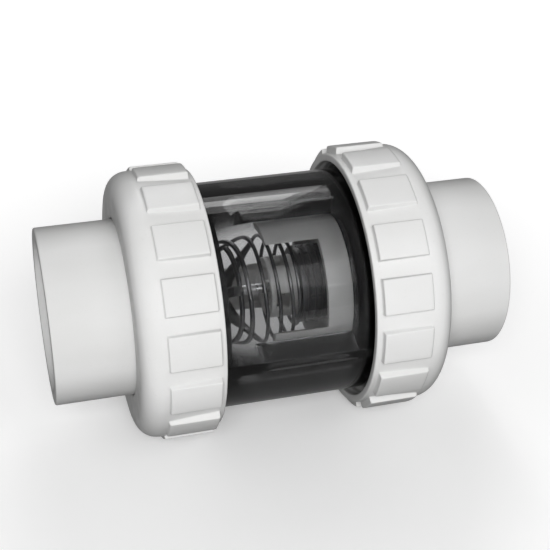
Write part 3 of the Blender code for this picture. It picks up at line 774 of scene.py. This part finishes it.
def spring_wire():
    """The conical spring, as one swept wire with ground ends."""
    total = 2 * DEAD_TURNS + ACTIVE_TURNS
    rise = SPRING_HIGH - SPRING_LOW - 2 * DEAD_TURNS * DEAD_PITCH
    count = round(total * WIRE_STEPS)
    points = []
    for i in range(count + 1):
        turns = total * i / count
        moving = min(max(turns - DEAD_TURNS, 0.0), ACTIVE_TURNS)
        x = SPRING_LOW + DEAD_PITCH * (turns - moving) + rise * moving / ACTIVE_TURNS
        radius = SPRING_WIDE_R - SPRING_TAPER * (turns / total) ** SPRING_TAPER_POWER
        points.append(place(x, radius, SPRING_PHASE + 360 * (turns - DEAD_TURNS)))
    corners = [2 * math.pi * k / WIRE_SIDES for k in range(WIRE_SIDES)]
    shape = bmesh.new()
    rows = []
    for i, point in enumerate(points):
        ahead = (points[min(i + 1, count)] - points[max(i - 1, 0)]).normalized()
        out = Vector((0.0, point.y, point.z)).normalized()
        side = ahead.cross(out).normalized()
        out = side.cross(ahead)
        spokes = [(out * math.cos(a) + side * math.sin(a)) * WIRE_R * MM for a in corners]
        rows.append([shape.verts.new(point + spoke) for spoke in spokes])
    for before, after in zip(rows, rows[1:]):
        for k in range(WIRE_SIDES):
            j = (k + 1) % WIRE_SIDES
            shape.faces.new((before[k], before[j], after[j], after[k]))
    shape.faces.new(rows[0])
    shape.faces.new(rows[-1])
    return crease(mesh_object("spring_wire", shape), 50.0)


def add(obj, body, node, finish):
    """Give a piece its material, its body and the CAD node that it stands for."""
    obj.data.materials.clear()
    obj.data.materials.append(finish)
    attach(obj, body)
    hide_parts(node)
    return obj


# ---------------------------------------------------------------- stage


def lamp(name, location, size, power):
    """A rectangular lamp that looks at the middle of the valve."""
    light = bpy.data.lights.new(name, "AREA")
    light.shape = "RECTANGLE"
    light.size, light.size_y = size
    light.energy = power
    obj = bpy.data.objects.new(name, light)
    bpy.context.scene.collection.objects.link(obj)
    obj.location = location
    obj.rotation_euler = (-Vector(location)).to_track_quat("-Z", "Y").to_euler()
    return obj


def set_floor():
    """Pale paper with a painted glow that grows away from the valve, so that the dimmer paper near
    it is a painted soft shadow round the valve. It sends back less light than it shows, so that the
    undersides of the white parts stay shaded."""
    half_width = 6.0
    bounced = grey(0.42)
    # Painted light and shadow: the paper glows, less near the valve, which paints a soft shadow
    # round it.
    near_glow, far_glow = 0.16, 0.5
    near, far = 0.08, 0.4
    shape = bmesh.new()
    bmesh.ops.create_grid(shape, x_segments=1, y_segments=1, size=half_width)
    floor = mesh_object("floor", shape)
    floor.location = (0.0, 0.0, FLOOR * MM)
    paper = Finish("pale_paper", grey(0.93), 0.9)
    tone = paper.ramp(paper.grain(3.0, 2.0), [(0.3, grey(0.92)), (0.7, grey(0.94))])
    reflected = paper.node("ShaderNodeLightPath").outputs["Is Reflection Ray"]
    paper.colour(paper.mix(reflected, tone, bounced))
    place_at = paper.node("ShaderNodeTexCoord")
    away = paper.node("ShaderNodeVectorMath")
    away.operation = "LENGTH"
    paper.link(place_at.outputs["Object"], away.inputs[0])
    glow = paper.node("ShaderNodeMath")
    glow.operation = "SUBTRACT"
    glow.use_clamp = True
    paper.link(paper.spread(away.outputs["Value"], near_glow, far_glow, near, far), glow.inputs[0])
    paper.link(reflected, glow.inputs[1])
    paper.link(glow.outputs["Value"], paper.shader.inputs["Emission Strength"])
    paper.shader.inputs["Emission Color"].default_value = (*grey(1.0), 1.0)
    floor.data.materials.append(paper.made)


def set_world():
    """A pale backdrop that gives the valve only a faint light from all sides."""
    given, seen = 0.18, 0.9
    world = bpy.data.worlds.new("studio")
    bpy.context.scene.world = world
    world.use_nodes = True
    tree = world.node_tree
    background = tree.nodes["Background"]
    background.inputs["Color"].default_value = (*grey(1.0), 1.0)
    strength = tree.nodes.new("ShaderNodeMapRange")
    strength.inputs["To Min"].default_value = given
    strength.inputs["To Max"].default_value = seen
    path = tree.nodes.new("ShaderNodeLightPath")
    tree.links.new(path.outputs["Is Camera Ray"], strength.inputs["Value"])
    tree.links.new(strength.outputs["Result"], background.inputs["Strength"])


def set_lamps():
    """Soft light from the front, a little from behind, and two strips that give the clear body the
    highlight along its top."""
    lamp("key", (-0.33, -1.35, 0.86), (0.9, 0.7), 19.0).visible_glossy = False
    lamp("fill", (0.6, -1.0, 0.9), (0.7, 0.7), 2.4).visible_glossy = False
    lamp("back", (0.35, 1.3, 0.75), (0.9, 0.7), 7.0).visible_glossy = False
    lamp("rim", (0.115, 0.55, 0.62), (0.19, 0.12), 0.26)
    lamp("rim_glow", (0.115, 0.6, 0.68), (0.26, 0.42), 0.45)


def set_camera():
    """A long lens above the outlet's front side, looking down at the valve."""
    camera = bpy.data.cameras.new("camera")
    camera.lens = 81.6
    camera.sensor_width = 36.0
    obj = bpy.data.objects.new("camera", camera)
    bpy.context.scene.collection.objects.link(obj)
    obj.location = (-0.11774, -0.43353, 0.28186)
    obj.rotation_euler = [math.radians(v) for v in (58.45, -0.756, -15.078)]
    bpy.context.scene.camera = obj


# ---------------------------------------------------------------- the valve

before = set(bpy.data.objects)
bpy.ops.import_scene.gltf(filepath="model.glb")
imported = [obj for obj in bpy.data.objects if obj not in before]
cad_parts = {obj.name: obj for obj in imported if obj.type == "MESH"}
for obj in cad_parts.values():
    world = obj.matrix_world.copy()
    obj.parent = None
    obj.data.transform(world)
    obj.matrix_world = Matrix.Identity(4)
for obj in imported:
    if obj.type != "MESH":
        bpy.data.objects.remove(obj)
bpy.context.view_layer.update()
set_camera()
set_floor()
set_world()
set_lamps()
bpy.context.scene.view_settings.view_transform = "Standard"

WHITE = white_pvc("white_pvc", grey(0.86, -0.005), grey(0.80, -0.01), 0.36)
SOCKET_WHITE = white_pvc("socket_white_pvc", grey(0.80, -0.005), grey(0.74, -0.01), 0.42)
SMOKE = smoke_pvc()
GREY = plastic("grey_pvc", grey(0.035, 0.002), grey(0.02, 0.002), 0.42, grey(0.08))
ACETAL = plastic("white_acetal", grey(0.66, -0.01), grey(0.58, -0.01), 0.40, grey(0.74, -0.01))
DARK = plastic("dark_acetal", grey(0.055, 0.003), grey(0.03, 0.002), 0.46, grey(0.13))
BLACK = plastic("black_plastic", grey(0.03, 0.002), grey(0.018, 0.002), 0.5, grey(0.08))
RUBBER = rubber()
DRAWN = steel("spring_steel", grey(0.16, 0.005), grey(0.08, 0.005), 0.34, (1.0, 0.3, 0.3))
TURNED = steel("turned_steel", grey(0.52, 0.01), grey(0.38, 0.01), 0.28, (4.0, 0.4, 0.4))

add(valve_body(), "shell", "valve_body", SMOKE)
add(seat_ring(), "shell", "seat_ring", GREY)
add(torus("seat_ring_seal", 42.3, 36.75, 1.1), "shell", "seat_ring_oring", RUBBER)
add(spring_retainer(), "shell", "spring_retainer", BLACK)
add(retaining_ring(), "shell", "retaining_ring", TURNED)
bushing = [(-14.6, STEM_BORE_R, 0.15), (-14.6, 3.6, 0.2), (-22.1, 3.6, 0.1)]
bushing += [(-22.1, 5.4, 0.2), (-23.1, 5.4, 0.2), (-23.1, STEM_BORE_R, 0.15)]
add(turned("bushing", bushing, SMALL), "shell", "stem_bushing", ACETAL)

add(poppet(), "poppet_group", "poppet", ACETAL)
seal = [(29.9, STEM_BORE_R, 0.1), (29.9, 28.0, 0.3), (28.3, 28.0, 0.3), (28.3, STEM_BORE_R, 0.1)]
add(turned("seal_disc", seal), "poppet_group", "poppet_seal", RUBBER)
plate = [(31.7, STEM_BORE_R, 0.1), (31.7, 19.4, 0.5), (31.0, 20.0, 0.3)]
plate += [(30.2, 20.0, 0.2), (30.2, STEM_BORE_R, 0.1)]
add(turned("seal_plate", plate), "poppet_group", "seal_retainer", TURNED)
add(spring_hub(), "poppet_group", "spring_hub", DARK)
add(spring_guide(), "poppet_group", "spring_guide", ACETAL)
add(stem(), "poppet_group", "stem_bolt", TURNED)
add(hex_nut("clamp_hex", 3.1, 10.0), "poppet_group", "clamp_nut", TURNED)
add(hex_nut("stem_hex", -27.8, 25.0), "poppet_group", "stem_nut", TURNED)
washer = [(-23.4, STEM_BORE_R, 0.1), (-23.4, 5.0, 0.25)]
washer += [(-24.4, 5.0, 0.25), (-24.4, STEM_BORE_R, 0.1)]
add(turned("washer", washer, SMALL), "poppet_group", "stem_washer", TURNED)

wire = add(spring_wire(), "shell", "spring", DRAWN)
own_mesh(wire)

for end, matrix, phase in (("inlet", Matrix.Identity(4), 0.0), ("outlet", END_FOR_END, 180 / PADS)):
    connector = end_connector(f"{end}_socket_end", matrix)
    add(connector, f"{end}_connector", f"{end}_end_connector", SOCKET_WHITE)
    nut = union_nut(f"{end}_grip_nut", matrix, phase)
    add(nut, f"{end}_nut", f"{end}_union_nut", WHITE)
    ring = torus(f"{end}_face_seal", 47.0, 43.3, 1.3, matrix)
    add(ring, "shell", f"{end}_face_oring", RUBBER)
